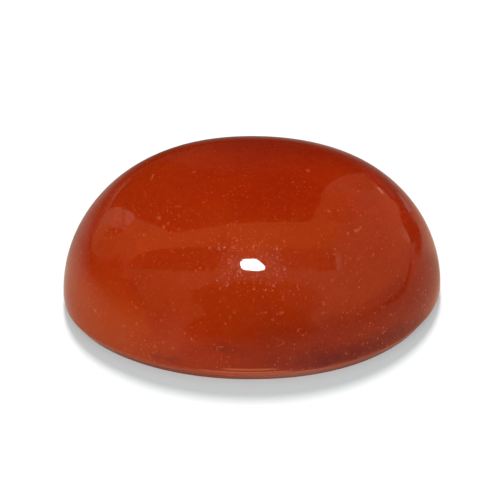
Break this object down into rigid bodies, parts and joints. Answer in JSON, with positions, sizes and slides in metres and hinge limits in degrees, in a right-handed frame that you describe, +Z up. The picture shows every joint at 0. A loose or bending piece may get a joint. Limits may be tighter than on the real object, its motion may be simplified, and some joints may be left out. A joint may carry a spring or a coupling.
{
  "type": "carnelian cabochon",
  "caption": "Polished oval cabochon of red-orange carnelian: a smooth high dome on a flat base with a narrow bevelled edge.",
  "frame": {"origin": "centre of the flat base, at the middle of the stone's length and width", "axes": "+X along the stone's length, +Y across it towards its back, +Z up from the base to the crown of the dome"},
  "size_m": [0.016, 0.012, 0.0071],
  "materials": {
    "carnelian": "polished, slightly translucent"
  },
  "bodies": {
    "root": {"carnelian": "carnelian"}
  },
  "joints": []
}
